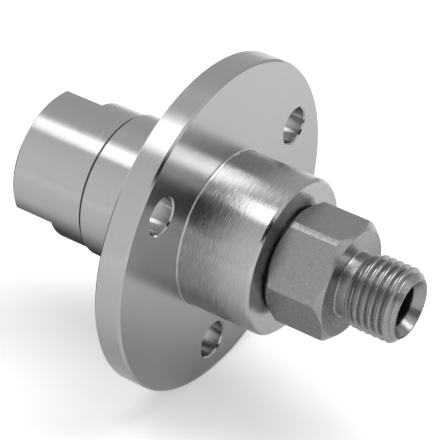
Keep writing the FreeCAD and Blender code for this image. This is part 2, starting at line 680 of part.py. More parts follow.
def backup_ring():
    return turned_body("stationary_ring_backup_ring", box_ring(
        f"{TAIL_GROOVE_FRONT} - backup_wide", TAIL_GROOVE_FRONT,
        f"{TAIL} + seat_gap", f"{TAIL_GROOVE_FLOOR} - seat_gap"))


def spring_washer():
    return turned_body("spring_washer", box_ring(
        WASHER_REAR, HEAD_REAR, f"{TAIL} + washer_gap", f"{POCKET} - washer_gap"))


def seal_spring():
    """Round wire wound about X between the pocket's floor and the washer."""
    height = "(spring_room - spring_wire_d - 2 * spring_gap)"
    middle = f"({TAIL} + {POCKET}) / 2"
    coil = document.addObject("Part::Helix", "spring_line")
    coil.setExpression("Radius", linked(middle))
    coil.setExpression("Height", linked(height))
    coil.setExpression("Pitch", linked(f"{height} / spring_turns"))
    # The coil is swept in short pieces, so that the mesh of each face follows it
    coil_pieces = 6
    coil.setExpression("SegmentLength", linked(f"spring_turns / {coil_pieces}"))
    wire = document.addObject("Part::Circle", "spring_wire_section")
    wire.Placement = FreeCAD.Placement(FreeCAD.Vector(), FreeCAD.Rotation(FreeCAD.Vector(1, 0, 0), 90))
    wire.setExpression("Radius", linked("spring_wire_d / 2"))
    wire.setExpression("Placement.Base.x", linked(middle))
    spring = document.addObject("Part::Sweep", "seal_spring")
    spring.Label = "seal_spring"
    spring.Sections = [wire]
    spring.Spine = (coil, [f"Edge{number + 1}" for number in range(coil_pieces)])
    spring.Solid = True
    spring.Frenet = True
    spring.Placement = FreeCAD.Placement(FreeCAD.Vector(), FreeCAD.Rotation(FreeCAD.Vector(0, 1, 0), 90))
    spring.setExpression("Placement.Base.x", linked(f"{POCKET_FLOOR} + spring_wire_d / 2 + spring_gap"))
    return spring


pieces = [flanged_housing(), inlet_body(), outlet_shaft()]
pieces += ball_bearing("front", FRONT_BEARING) + ball_bearing("rear", REAR_BEARING)
pieces += spacers() + retaining_rings() + lip_seal()
pieces += [rotating_seal_ring(), stationary_seal_ring(), anti_rotation_pin()]
pieces += o_rings() + [backup_ring(), spring_washer(), seal_spring()]
document.recompute()

# Every object has to have worked before anything is written
for item in document.Objects:
    if "Invalid" in item.State or "Error" in item.State:
        raise RuntimeError(f"{item.Name} failed: {item.State}")
for piece in pieces:
    if piece.Shape.isNull() or not piece.Shape.isValid():
        raise RuntimeError(f"{piece.Label} has no valid shape")

os.makedirs("parts", exist_ok=True)
for piece in pieces:
    piece.Shape.exportStep(f"parts/{piece.Label}.step")
    print(f"{piece.Label:30s} solids {len(piece.Shape.Solids):2d}  volume {piece.Shape.Volume:10.3f}")
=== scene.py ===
import math

import bmesh
import bpy
from mathutils import Matrix, Vector


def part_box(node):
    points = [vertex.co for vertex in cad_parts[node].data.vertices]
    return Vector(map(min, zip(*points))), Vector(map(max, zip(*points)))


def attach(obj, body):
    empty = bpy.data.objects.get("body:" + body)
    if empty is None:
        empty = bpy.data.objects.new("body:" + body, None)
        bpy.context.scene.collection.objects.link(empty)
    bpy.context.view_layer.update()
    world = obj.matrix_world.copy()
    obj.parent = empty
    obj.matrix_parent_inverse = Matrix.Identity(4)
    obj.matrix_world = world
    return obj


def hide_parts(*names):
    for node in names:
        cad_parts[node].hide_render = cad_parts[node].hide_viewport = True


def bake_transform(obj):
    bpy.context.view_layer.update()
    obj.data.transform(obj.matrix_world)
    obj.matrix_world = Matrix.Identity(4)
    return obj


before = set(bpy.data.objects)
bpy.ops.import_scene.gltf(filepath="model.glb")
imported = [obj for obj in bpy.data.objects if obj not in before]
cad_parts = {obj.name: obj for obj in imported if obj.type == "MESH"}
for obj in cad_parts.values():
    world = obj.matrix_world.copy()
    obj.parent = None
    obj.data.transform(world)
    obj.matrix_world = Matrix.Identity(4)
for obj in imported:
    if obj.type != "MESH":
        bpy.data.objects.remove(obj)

bl_info = {
    "name": "Hydraulic rotary union",
    "version": (1, 0, 0),
    "blender": (4, 5, 0),
    "location": "3D View > Sidebar > Union",
    "description": "Threads, finishes and studio of a flanged rotary union, built round its CAD frame",
    "category": "Add Mesh",
}

MM = 0.001
NEAR = 0.001 * MM

# The shaft's axis is X, towards the male thread; the origin is the centre of the flange's rear face
SHAFT_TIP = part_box("outlet_shaft")[1].x
FLANGE_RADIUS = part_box("flanged_housing")[1].y
INLET_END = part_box("inlet_body")[0].x

# Level direction from the object towards the camera
CAMERA_SIDE = (0.511, -0.859, 0)

# Camera place and its right, up and backward directions, fitted to the photograph
CAMERA_PLACE = Vector((0.16699, -0.27399, 0.19785))
CAMERA_AXES = (
    Vector((0.82637, 0.55595, 0.08967)),
    Vector((-0.35747, 0.39483, 0.84637)),
    Vector((0.43513, -0.73146, 0.52501)))
NEAREST_SEEN = 0.01
SOFTBOX_HEIGHT = 0.42
# Glow of the floor that only the camera sees, so that it comes out white
CAMERA_GLOW = 0.35
# The two grey cards, painted shadow on the floor for metal to mirror, lie just above the floor
SHADOW_CARD_HEIGHT = MM - FLANGE_RADIUS

# How far behind the thread's start the CAD shaft is cut, and the modelled one starts
SHAFT_CUT, SHAFT_START = 0.9 * MM, 0.6 * MM
# The port's thread keeps this far from both ends of its wall
PORT_INSET = 0.1 * MM
# The port's wall is found within this of the crest's radius, by normals that lean less than this along X
WALL_REACH, WALL_LEAN = 0.01 * MM, 0.1
# Faces that meet at less than this angle, in degrees, are shaded as one
SMOOTH_TURNED, SMOOTH_COIL = 22, 40
# Faces round the spring's wire, and along one turn of its coil
WIRE_FACES, COIL_STEPS = 20, 96

# Noise seldom leaves this range
NOISE_LOW, NOISE_HIGH = 0.3, 0.7
# Distance between the speckles of bar steel, coarser than the real 0.1 mm, so that a small picture shows them
SPECKLE = 0.3 * MM
# Share of the marks that is left behind the brushed barrel, and the length over which they fade
FAINT_MARKS, MARKS_FADE = 0.25, 0.4 * MM
# Share of the brightness that is left in a drilled bore, as painted shade for the dark inside it, and the
# length over which it fades
BORE_PAINTED_SHADE, BORE_FADE = 0.25, 0.1 * MM
# How deep the marks look, and how they change the roughness and the colour
BUMP_HEIGHT = 0.02 * MM
MARKED_ROUGHNESS = 0.25
GRAIN_ROUGHNESS = (0.85, 1.15)
GRAIN_SHADES = (0.88, 1.1)


# ---- Sizes and colours that a user would change ----

class UnionThreads(bpy.types.PropertyGroup):
    """Sizes of the two threads, the shaft's tip, the inlet's port and the seal spring"""
    pitch: bpy.props.FloatProperty(
        name="Pitch", description="Thread pitch, 19 turns to the inch", default=1.337 * MM, unit="LENGTH")
    crest: bpy.props.FloatProperty(
        name="Crest radius", description="Major radius of both threads", default=6.5785 * MM, unit="LENGTH")
    depth: bpy.props.FloatProperty(
        name="Depth", description="Height of the rounded 55 degree thread", default=0.856 * MM, unit="LENGTH")
    rounding: bpy.props.FloatProperty(
        name="Rounding", description="Radius of crests and roots", default=0.184 * MM, unit="LENGTH")
    steps: bpy.props.IntProperty(
        name="Steps", description="Faces round one turn", default=112, min=24)
    undercut: bpy.props.FloatProperty(
        name="Undercut radius", description="Neck behind the male thread", default=5.5985 * MM, unit="LENGTH")
    thread_length: bpy.props.FloatProperty(
        name="Thread length", description="Length of the male thread, from the tip back to the undercut",
        default=9.2 * MM, unit="LENGTH")
    lead: bpy.props.FloatProperty(
        name="Lead", description="Length over which the male thread rises", default=1.5 * MM, unit="LENGTH")
    tip_chamfer: bpy.props.FloatProperty(
        name="Tip chamfer", description="45 degree chamfer at the tip", default=1.35 * MM, unit="LENGTH")
    cone_mouth: bpy.props.FloatProperty(
        name="Cone mouth", description="Radius of the cone seat at the tip", default=4.7985 * MM,
        unit="LENGTH")
    bore: bpy.props.FloatProperty(
        name="Bore", description="Radius of the through bore", default=3.75 * MM, unit="LENGTH")
    cone_half_angle: bpy.props.FloatProperty(
        name="Cone half angle", description="Seat angle from the axis", default=math.radians(30),
        subtype="ANGLE")
    port_countersink: bpy.props.FloatProperty(
        name="Port countersink", description="Depth of the inlet port's countersink", default=0.6 * MM,
        unit="LENGTH")
    port_depth: bpy.props.FloatProperty(
        name="Port depth", description="Depth of the inlet port", default=12 * MM, unit="LENGTH")
    cut_turns: bpy.props.FloatProperty(
        name="Cut turns", description="Turns of the helix cut off in the undercut, which place the crests",
        default=1.5, min=1.0)
    spring_wire: bpy.props.FloatProperty(
        name="Spring wire", description="Diameter of the seal spring's wire", default=0.9 * MM, unit="LENGTH")
    spring_turns: bpy.props.IntProperty(
        name="Spring turns", description="Turns of the seal spring", default=2, min=1)


# The turning marks are drawn coarser than the real feed of about 0.1 mm, so that a small picture shows them
class UnionFinishes(bpy.types.PropertyGroup):
    """Colours and marks of the steel that shows outside"""
    housing: bpy.props.StringProperty(
        name="Turned steel", description="sRGB hex of housing and inlet body", default="#B2B2B2")
    shaft: bpy.props.StringProperty(
        name="Bar steel", description="sRGB hex of the shaft", default="#9A9A9A")
    turning: bpy.props.FloatProperty(
        name="Turning marks", description="Distance between visible turning marks", default=0.25 * MM,
        unit="LENGTH")
    satin: bpy.props.FloatProperty(
        name="Satin marks", description="Distance between the marks on the inlet body", default=0.15 * MM,
        unit="LENGTH")
    brushed_from: bpy.props.FloatProperty(
        name="Brushed from", description="Where the brushed barrel starts, in front of the flange",
        default=5.1 * MM, unit="LENGTH")


class UnionStudio(bpy.types.PropertyGroup):
    """Floor, lights, room and lens"""
    floor_size: bpy.props.FloatProperty(
        name="Floor", description="Side of the pale floor", default=6.0, unit="LENGTH")
    left_power: bpy.props.FloatProperty(
        name="Left softbox", description="Power of the softbox over the inlet's side", default=0.44,
        unit="POWER")
    right_power: bpy.props.FloatProperty(
        name="Right softbox", description="Power of the softbox over the thread's side", default=1.05,
        unit="POWER")
    fill: bpy.props.FloatProperty(
        name="Fill", description="World strength for matt surfaces", default=0.4)
    front_wall: bpy.props.FloatProperty(
        name="Front wall", description="World strength that metal sees on the camera's side", default=1.0)
    back_wall: bpy.props.FloatProperty(
        name="Back wall", description="World strength that metal sees behind the object", default=0.62)
    lens: bpy.props.FloatProperty(
        name="Lens", description="Camera lens on a 36 mm sensor", default=181.55, unit="CAMERA")


# ---- Small helpers ----

def pick(obj):
    """Leave only this object selected and active."""
    bpy.ops.object.select_all(action="DESELECT")
    obj.select_set(True)
    bpy.context.view_layer.objects.active = obj


def select_edges(obj, wanted):
    """In edit mode, select exactly the open edges whose two ends both pass the test."""
    bpy.ops.mesh.select_mode(type="EDGE")
    bpy.ops.mesh.select_all(action="DESELECT")
    mesh = bmesh.from_edit_mesh(obj.data)
    for edge in mesh.edges:
        edge.select = edge.is_boundary and all(wanted(end.co) for end in edge.verts)
    mesh.select_flush_mode()
    bmesh.update_edit_mesh(obj.data)


def radius_of(point):
    """Distance of a point from the shaft's axis."""
    return math.hypot(point.y, point.z)


def outline(name, points):
    """A chain of edges through points (x, radius), drawn in the XZ plane from one merged vertex."""
    first = points[0]
    bpy.ops.object.select_all(action="DESELECT")
    bpy.ops.mesh.primitive_circle_add(vertices=3, radius=MM, location=(first[0], 0, first[1]))
    obj = bpy.context.object
    obj.name = name
    bpy.ops.object.transform_apply(location=True, rotation=True, scale=True)
    bpy.ops.object.mode_set(mode="EDIT")
    bpy.ops.mesh.select_mode(type="VERT")
    bpy.ops.mesh.select_all(action="SELECT")
    bpy.ops.mesh.merge(type="CENTER")
    for before, after in zip(points, points[1:]):
        step = (after[0] - before[0], 0, after[1] - before[1])
        bpy.ops.mesh.extrude_region_move(TRANSFORM_OT_translate={"value": step})
    bpy.ops.object.mode_set(mode="OBJECT")
    return obj


def thread_profile(threads, start):
    """One pitch of a rounded 55 degree thread, from root to root, as (x, radius)."""
    flank = math.radians(27.5)
    swing = math.pi / 2 - flank
    round_steps, flank_steps = 3, 3
    root = threads.crest - threads.depth
    pitch, ball = threads.pitch, threads.rounding
    up = [(ball * math.sin(swing * i / round_steps), root + ball * (1 - math.cos(swing * i / round_steps)))
          for i in range(round_steps + 1)]
    over = [(pitch / 2 - ball * math.sin(swing * i / round_steps),
             threads.crest - ball * (1 - math.cos(swing * i / round_steps)))
            for i in range(round_steps, -1, -1)]
    bottom, top = up[-1], over[0]
    slope = [tuple(low + (high - low) * i / flank_steps for low, high in zip(bottom, top))
             for i in range(1, flank_steps)]
    half = up + slope + over
    other = [(pitch - x, r) for x, r in reversed(half[:-1])]
    return [(start + x, r) for x, r in half + other]


def threaded_tube(name, threads, start, turns):
    """Open tube of right-hand thread about X."""
    tube = outline(name, thread_profile(threads, start))
    screw = tube.modifiers.new("Thread", "SCREW")
    screw.axis = "X"
    screw.angle = 2 * math.pi
    screw.screw_offset = threads.pitch
    screw.iterations = turns
    screw.steps = screw.render_steps = threads.steps
    pick(tube)
    bpy.ops.object.modifier_apply(modifier=screw.name)
    bpy.ops.object.mode_set(mode="EDIT")
    bpy.ops.mesh.select_all(action="SELECT")
    bpy.ops.mesh.remove_doubles(threshold=NEAR)
    bpy.ops.object.mode_set(mode="OBJECT")
    return tube


def bisect(x, keep_left):
    """In edit mode, cut the mesh at the plane x and keep the part to its left or to its right."""
    bpy.ops.mesh.select_all(action="SELECT")
    bpy.ops.mesh.bisect(plane_co=(x, 0, 0), plane_no=(1, 0, 0), threshold=NEAR,
                        clear_outer=keep_left, clear_inner=not keep_left)


def at_rim(x, low=0.0, high=math.inf):
    """Test for points in the plane x, between two radii."""
    return lambda co: abs(co.x - x) < 2 * NEAR and low < radius_of(co) < high


def grow_rim(obj, x, steps):
    """Extrude the open rim at x through (x, radius) steps."""
    select_edges(obj, at_rim(x))
    mesh = bmesh.from_edit_mesh(obj.data)
    size = max(radius_of(v.co) for v in mesh.verts if v.select)
    for new_x, new_size in steps:
        bpy.ops.mesh.extrude_region_move(TRANSFORM_OT_translate={"value": (new_x - x, 0, 0)})
        scale = new_size / size
        bpy.ops.transform.resize(value=(1, scale, scale), center_override=(new_x, 0, 0))
        x, size = new_x, new_size


def keep_radius(obj, low=None, high=None):
    """Push every vertex out to the radius low(x), or in to high(x), whichever is given."""
    for vertex in obj.data.vertices:
        size = radius_of(vertex.co)
        wanted = max(size, low(vertex.co.x)) if low else min(size, high(vertex.co.x))
        vertex.co.yz = vertex.co.yz * (wanted / size)


def cad_copy(node):
    """A copy of a CAD node with its facets joined, in edit mode."""
    obj = bpy.data.objects[node].copy()
    obj.data = obj.data.copy()
    obj.parent = None
    bpy.context.scene.collection.objects.link(obj)
    pick(obj)
    bpy.ops.mesh.customdata_custom_splitnormals_clear()
    bpy.ops.object.mode_set(mode="EDIT")
    bpy.ops.mesh.select_all(action="SELECT")
    bpy.ops.mesh.remove_doubles(threshold=NEAR)
    return obj


def join_and_bridge(obj, other, rims):
    """Join two meshes and close the gap between each pair of rims, one test for each pair."""
    pick(obj)
    other.select_set(True)
    bpy.ops.object.join()
    bpy.ops.object.mode_set(mode="EDIT")
    for both_rims in rims:
        select_edges(obj, both_rims)
        bpy.ops.mesh.bridge_edge_loops()
    bpy.ops.mesh.select_all(action="SELECT")
    bpy.ops.mesh.normals_make_consistent(inside=False)
    bpy.ops.object.mode_set(mode="OBJECT")


def smooth(obj, degrees):
    """Shade faces as one where they meet at less than this angle."""
    pick(obj)
    bpy.ops.object.shade_smooth_by_angle(angle=math.radians(degrees))


# ---- Materials ----

def srgb(code):
    """Linear colour of an sRGB hex code."""
    parts = [int(code[i:i + 2], 16) / 255 for i in (1, 3, 5)]
    return [p / 12.92 if p <= 0.04045 else ((p + 0.055) / 1.055) ** 2.4 for p in parts] + [1.0]


def add(tree, kind, values=None, **options):
    """Add one node: options set its own settings, values set or link its inputs by name or number."""
    node = tree.nodes.new(kind)
    for key, value in options.items():
        setattr(node, key, value)
    for key, value in (values or {}).items():
        if isinstance(value, bpy.types.NodeSocket):
            tree.links.new(value, node.inputs[key])
        else:
            node.inputs[key].default_value = value
    return node


def new_material(name):
    """An empty material and its node tree."""
    material = bpy.data.materials.new(name)
    material.use_nodes = True
    material.node_tree.nodes.clear()
    return material, material.node_tree


def finish_surface(tree, values):
    """End a material with its surface."""
    shader = add(tree, "ShaderNodeBsdfPrincipled", values)
    add(tree, "ShaderNodeOutputMaterial", {"Surface": shader.outputs["BSDF"]})


def turned_coordinates(tree):
    """Sockets that follow a piece turned about X: x, radius and a direction round the axis."""
    place = add(tree, "ShaderNodeTexCoord").outputs["Object"]
    axes = add(tree, "ShaderNodeSeparateXYZ", {0: place})
    across = add(tree, "ShaderNodeCombineXYZ", {"Y": axes.outputs["Y"], "Z": axes.outputs["Z"]})
    radius = add(tree, "ShaderNodeVectorMath", {0: across.outputs[0]}, operation="LENGTH")
    around = add(tree, "ShaderNodeVectorMath", {0: across.outputs[0]}, operation="NORMALIZE")
    return axes.outputs["X"], radius.outputs["Value"], around.outputs["Vector"]


def turning_marks(tree, spacing, per_radian):
    """Noise drawn out round the axis, as a lathe tool or a belt leaves it: few marks per radian are long."""
    x, radius, around = turned_coordinates(tree)
    along = add(tree, "ShaderNodeMath", {0: x, 1: 1 / spacing}, operation="MULTIPLY")
    out = add(tree, "ShaderNodeMath", {0: radius, 1: 1 / spacing}, operation="MULTIPLY")
    drawn = add(tree, "ShaderNodeVectorMath", {0: around, "Scale": per_radian}, operation="SCALE")
    shift = add(tree, "ShaderNodeCombineXYZ", {"X": along.outputs[0]})
    vector = add(tree, "ShaderNodeVectorMath", {0: drawn.outputs[0], 1: shift.outputs[0]}, operation="ADD")
    noise = add(tree, "ShaderNodeTexNoise", {"Vector": vector.outputs[0], "W": out.outputs[0], "Scale": 1.0,
                                             "Detail": 2.0, "Roughness": 0.6}, noise_dimensions="4D")
    return noise.outputs["Fac"]


def turned_stainless(name, code, spacing, roughness, spread, bump, contrast=0.06, edges=1.0, calm_behind=None,
                     grain=0.0, painted_shade_within=None):
    """Turned stainless steel: grooves round the axis draw each highlight out across them.

    Marks change its brightness by contrast and its relief by bump, and spread is how far they draw a
    highlight out. Slanting edges, cut last, have the share edges of both roughness and spread. Behind
    calm_behind the marks are fainter. Grain is the contrast of fine even speckles, as on bar. Inside the
    radius of the last argument the colour is darkened with painted shade, which stands for the dark inside a
    drilled bore.
    """
    material, tree = new_material(name)
    fine = turning_marks(tree, spacing, per_radian=8.0)
    broad = turning_marks(tree, 6 * spacing, per_radian=2.0)
    marks = add(tree, "ShaderNodeMix", {"Factor": 0.15, "A": fine, "B": broad},
                data_type="FLOAT").outputs["Result"]
    marks = add(tree, "ShaderNodeMapRange", {
        "Value": marks, "From Min": NOISE_LOW, "From Max": NOISE_HIGH, "To Min": -1.0,
        "To Max": 1.0}).outputs[0]
    if calm_behind is not None:
        x = turned_coordinates(tree)[0]
        strength = add(tree, "ShaderNodeMapRange", {
            "Value": x, "From Min": calm_behind, "From Max": calm_behind + MARKS_FADE,
            "To Min": FAINT_MARKS})
        marks = add(tree, "ShaderNodeMath", {0: marks, 1: strength.outputs[0]},
                    operation="MULTIPLY").outputs[0]
    shade = add(tree, "ShaderNodeMath", {0: marks, 1: contrast, 2: 1.0}, operation="MULTIPLY_ADD").outputs[0]
    if grain:
        place = add(tree, "ShaderNodeTexCoord").outputs["Object"]
        speckle = add(tree, "ShaderNodeTexNoise", {"Vector": place, "Scale": 1 / SPECKLE, "Detail": 2.0})
        speckle = add(tree, "ShaderNodeMapRange", {
            "Value": speckle.outputs["Fac"], "From Min": NOISE_LOW, "From Max": NOISE_HIGH,
            "To Min": 1.0 - grain, "To Max": 1.0 + grain}).outputs[0]
        shade = add(tree, "ShaderNodeMath", {0: shade, 1: speckle}, operation="MULTIPLY").outputs[0]
    # Painted shade: the colour darkens inside the bore's radius, where the hole lies in shadow
    if painted_shade_within is not None:
        radius = turned_coordinates(tree)[1]
        depth = add(tree, "ShaderNodeMapRange", {
            "Value": radius, "From Min": painted_shade_within, "From Max": painted_shade_within + BORE_FADE,
            "To Min": BORE_PAINTED_SHADE}).outputs[0]
        shade = add(tree, "ShaderNodeMath", {0: shade, 1: depth}, operation="MULTIPLY").outputs[0]
    colour = add(tree, "ShaderNodeVectorMath", {0: srgb(code)[:3], "Scale": shade}, operation="SCALE")

    # The share is 1 on faces along and across the axis, and edges where slant is 1/4, at 45 degrees to it
    facing = add(tree, "ShaderNodeNewGeometry").outputs["True Normal"]
    facing = add(tree, "ShaderNodeSeparateXYZ", {0: facing}).outputs["X"]
    square = add(tree, "ShaderNodeMath", {0: facing, 1: facing}, operation="MULTIPLY").outputs[0]
    rest = add(tree, "ShaderNodeMath", {0: 1.0, 1: square}, operation="SUBTRACT").outputs[0]
    slant = add(tree, "ShaderNodeMath", {0: square, 1: rest}, operation="MULTIPLY").outputs[0]
    share = add(tree, "ShaderNodeMath", {0: slant, 1: 4 * (edges - 1), 2: 1.0},
                operation="MULTIPLY_ADD").outputs[0]

    rough = add(tree, "ShaderNodeMath", {0: marks, 1: roughness * MARKED_ROUGHNESS, 2: roughness},
                operation="MULTIPLY_ADD")
    rough = add(tree, "ShaderNodeMath", {0: rough.outputs[0], 1: share}, operation="MULTIPLY")
    drawn = add(tree, "ShaderNodeMath", {0: share, 1: spread}, operation="MULTIPLY")
    bumped = add(tree, "ShaderNodeBump", {"Height": marks, "Strength": bump, "Distance": BUMP_HEIGHT})
    # The grooves run round the axis, and a quarter turn lays the highlight across them
    tangent = add(tree, "ShaderNodeTangent", direction_type="RADIAL", axis="X")
    finish_surface(tree, {
        "Base Color": colour.outputs[0], "Metallic": 1.0, "Roughness": rough.outputs[0],
        "Anisotropic": drawn.outputs[0], "Anisotropic Rotation": 0.25, "Normal": bumped.outputs[0],
        "Tangent": tangent.outputs[0]})
    return material


def plain_grain(name, code, metallic, roughness, grain, bump):
    """Fine even grain, as on drawn, pressed, moulded or lapped surfaces.

    The grains are drawn some tenths of a millimetre wide, coarser than the real ones, so that they show.
    """
    material, tree = new_material(name)
    place = add(tree, "ShaderNodeTexCoord").outputs["Object"]
    noise = add(tree, "ShaderNodeTexNoise", {"Vector": place, "Scale": 1 / grain, "Detail": 3.0})
    low, high = ([min(1.0, c * shade) for c in srgb(code)[:3]] + [1.0] for shade in GRAIN_SHADES)
    colour = add(tree, "ShaderNodeMix", {"Factor": noise.outputs["Fac"], "A": low, "B": high},
                 data_type="RGBA")
    smoother, rougher = (roughness * share for share in GRAIN_ROUGHNESS)
    rough = add(tree, "ShaderNodeMapRange", {"Value": noise.outputs["Fac"], "To Min": smoother,
                                             "To Max": rougher})
    bumped = add(tree, "ShaderNodeBump", {"Height": noise.outputs["Fac"], "Strength": bump,
                                          "Distance": BUMP_HEIGHT})
    finish_surface(tree, {
        "Base Color": colour.outputs["Result"], "Metallic": metallic, "Roughness": rough.outputs[0],
        "Normal": bumped.outputs[0]})
    return material


def dress(material, *names):
    """Give a material to CAD nodes or to pieces of this scene."""
    for name in names:
        data = bpy.data.objects[name].data
        data.materials.clear()
        data.materials.append(material)


# ---- Operators, one for each piece or group ----

class UNION_OT_threaded_shaft(bpy.types.Operator):
    """Outlet shaft with its real thread, cone seat and bore"""
    bl_idname = "union.threaded_shaft"
    bl_label = "Threaded shaft"

    def execute(self, context):
        threads, finishes = context.scene.union_threads, context.scene.union_finishes
        thread_start = SHAFT_TIP - threads.thread_length
        join_low, join_high = thread_start - SHAFT_CUT, thread_start - SHAFT_START
        first_turn = join_high - threads.pitch * threads.cut_turns
        turns = math.ceil((SHAFT_TIP - first_turn) / threads.pitch) + 1
        shaft = threaded_tube("threaded_shaft", threads, first_turn, turns)
        bpy.ops.object.mode_set(mode="EDIT")
        bisect(join_high, keep_left=False)
        bisect(SHAFT_TIP, keep_left=True)
        bpy.ops.object.mode_set(mode="OBJECT")
        # The thread rises out of the undercut over its lead, and ends at the tip's chamfer
        keep_radius(shaft, high=lambda x: min(
            threads.undercut + max(0, x - thread_start) * (threads.crest - threads.undercut) / threads.lead,
            threads.crest,
            threads.crest - threads.tip_chamfer + SHAFT_TIP - x))
        bpy.ops.object.mode_set(mode="EDIT")
        cone_end = SHAFT_TIP - (threads.cone_mouth - threads.bore) / math.tan(threads.cone_half_angle)
        grow_rim(shaft, SHAFT_TIP, [(SHAFT_TIP, threads.cone_mouth), (cone_end, threads.bore),
                                    (join_high, threads.bore)])
        bpy.ops.object.mode_set(mode="OBJECT")

        rear = cad_copy("outlet_shaft")
        bisect(join_low, keep_left=True)
        bpy.ops.object.mode_set(mode="OBJECT")
        between = (threads.undercut + threads.bore) / 2
        join_and_bridge(shaft, rear, [
            lambda co: at_rim(join_low, low=between)(co) or at_rim(join_high, low=between)(co),
            lambda co: at_rim(join_low, high=between)(co) or at_rim(join_high, high=between)(co)])
        smooth(shaft, SMOOTH_TURNED)
        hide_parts("outlet_shaft")
        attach(shaft, "rotor")
        # Bar is a darker grey with a fine speckle; its drilled bore is darkened with painted shade
        bar = turned_stainless(
            "Stainless bar, turned and milled", finishes.shaft, finishes.turning, roughness=0.3, spread=0.8,
            bump=0.15, grain=0.12, painted_shade_within=threads.bore + BORE_FADE / 2)
        dress(bar, shaft.name)
        return {"FINISHED"}


class UNION_OT_threaded_inlet(bpy.types.Operator):
    """Inlet body with the real thread of its port"""
    bl_idname = "union.threaded_inlet"
    bl_label = "Threaded inlet body"

    def execute(self, context):
        threads = context.scene.union_threads
        port_mouth = INLET_END + threads.port_countersink
        port_end = INLET_END + threads.port_depth
        first_turn, last_turn = port_mouth - threads.pitch, port_end + threads.pitch
        thread = threaded_tube("threaded_inlet", threads, first_turn,
                               math.ceil((last_turn - first_turn) / threads.pitch))
        join_low, join_high = port_mouth + PORT_INSET, port_end - PORT_INSET
        bpy.ops.object.mode_set(mode="EDIT")
        bisect(join_low, keep_left=False)
        bisect(join_high, keep_left=True)
        bpy.ops.object.mode_set(mode="OBJECT")
        # At both ends the thread's ridges sink back into the wall
        keep_radius(thread, low=lambda x: threads.crest - min(
            threads.depth, max(0, x - join_low), max(0, join_high - x)))

        # The port's plain wall is cut out of the CAD body, and the thread takes its place
        body = cad_copy("inlet_body")
        bpy.ops.mesh.select_mode(type="FACE")
        bpy.ops.mesh.select_all(action="DESELECT")
        mesh = bmesh.from_edit_mesh(body.data)
        for face in mesh.faces:
            face.select = abs(face.normal.x) < WALL_LEAN and all(
                abs(radius_of(v.co) - threads.crest) < WALL_REACH and v.co.x < port_end + NEAR
                for v in face.verts)
        bmesh.update_edit_mesh(body.data)
        bpy.ops.mesh.delete(type="FACE")
        bpy.ops.object.mode_set(mode="OBJECT")
        near_wall = {"low": threads.crest - WALL_REACH, "high": threads.crest + WALL_REACH}
        join_and_bridge(body, thread, [
            lambda co: at_rim(port_mouth, **near_wall)(co) or at_rim(join_low, **near_wall)(co),
            lambda co: at_rim(port_end, **near_wall)(co) or at_rim(join_high, **near_wall)(co)])
        body.name = "threaded_inlet"
        smooth(body, SMOOTH_TURNED)
        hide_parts("inlet_body")
        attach(body, "housing")
        return {"FINISHED"}


class UNION_OT_closing_spring(bpy.types.Operator):
    """Seal spring, drawn as a fixed coil; the real one closes up as the carbon ring floats"""
    bl_idname = "union.closing_spring"
    bl_label = "Closing spring"

    def execute(self, context):
        threads = context.scene.union_threads
        low, high = (Vector(corner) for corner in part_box("seal_spring"))
        wire = threads.spring_wire
        bpy.ops.object.select_all(action="DESELECT")
        bpy.ops.mesh.primitive_circle_add(
            vertices=WIRE_FACES, radius=wire / 2, location=(low.x + wire / 2, 0, wire / 2 - high.y),
            rotation=(math.pi / 2, 0, 0))
        spring = context.object
        spring.name = "closing_spring"
        bpy.ops.object.transform_apply(location=True, rotation=True, scale=True)
        coil = spring.modifiers.new("Coil", "SCREW")
        coil.axis = "X"
        coil.angle = 2 * math.pi
        coil.iterations = threads.spring_turns
        coil.screw_offset = (high.x - low.x - wire) / threads.spring_turns
        coil.steps = coil.render_steps = COIL_STEPS
        bpy.ops.object.modifier_apply(modifier=coil.name)
        bpy.ops.object.mode_set(mode="EDIT")
        bpy.ops.mesh.select_all(action="SELECT")
        bpy.ops.mesh.remove_doubles(threshold=NEAR)
        bpy.ops.mesh.fill_holes(sides=0)
        bpy.ops.mesh.select_all(action="SELECT")
        bpy.ops.mesh.normals_make_consistent(inside=False)
        bpy.ops.object.mode_set(mode="OBJECT")
        smooth(spring, SMOOTH_COIL)
        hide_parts("seal_spring")
        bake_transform(spring)
        return {"FINISHED"}


